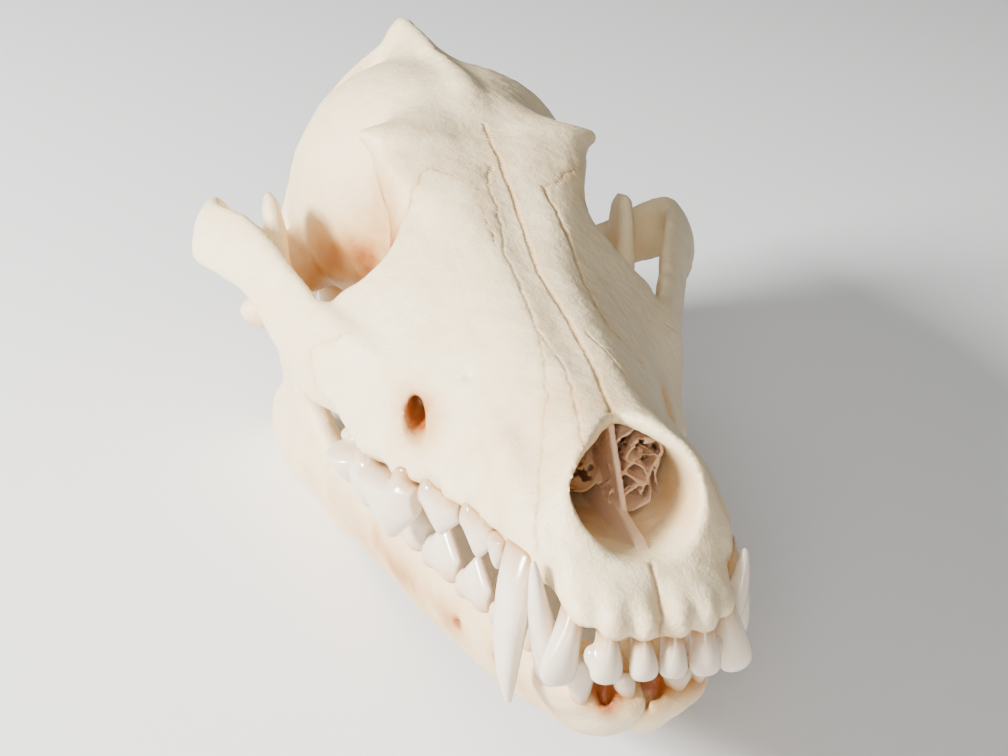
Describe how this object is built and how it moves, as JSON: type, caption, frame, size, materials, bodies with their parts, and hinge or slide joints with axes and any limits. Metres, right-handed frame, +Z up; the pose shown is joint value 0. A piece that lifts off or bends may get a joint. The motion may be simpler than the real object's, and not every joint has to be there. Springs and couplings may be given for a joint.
{
  "type": "coyote skull",
  "caption": "Life-size coyote skull with closed lower jaw, long muzzle, cheek arches, crest and full rows of teeth, at rest on the lower edges and angles of its jaw.",
  "frame": {"origin": "on the surface the skull lies on, under the middle of its bounding box", "axes": "+Z up, +Y from the muzzle to the back of the skull, +X the skull's own left"},
  "size_m": [0.1088, 0.2056, 0.0855],
  "materials": {
    "bone": "dry cleaned bone, warm ivory, softly matte, tan in the hollows",
    "enamel": "tooth enamel, off-white, glossy"
  },
  "bodies": {
    "root": {"muzzle": "bone", "braincase": "bone", "cheek_arch_left": "bone", "cheek_arch_right": "bone", "jaw_left": "bone", "jaw_right": "bone"}
  },
  "joints": []
}
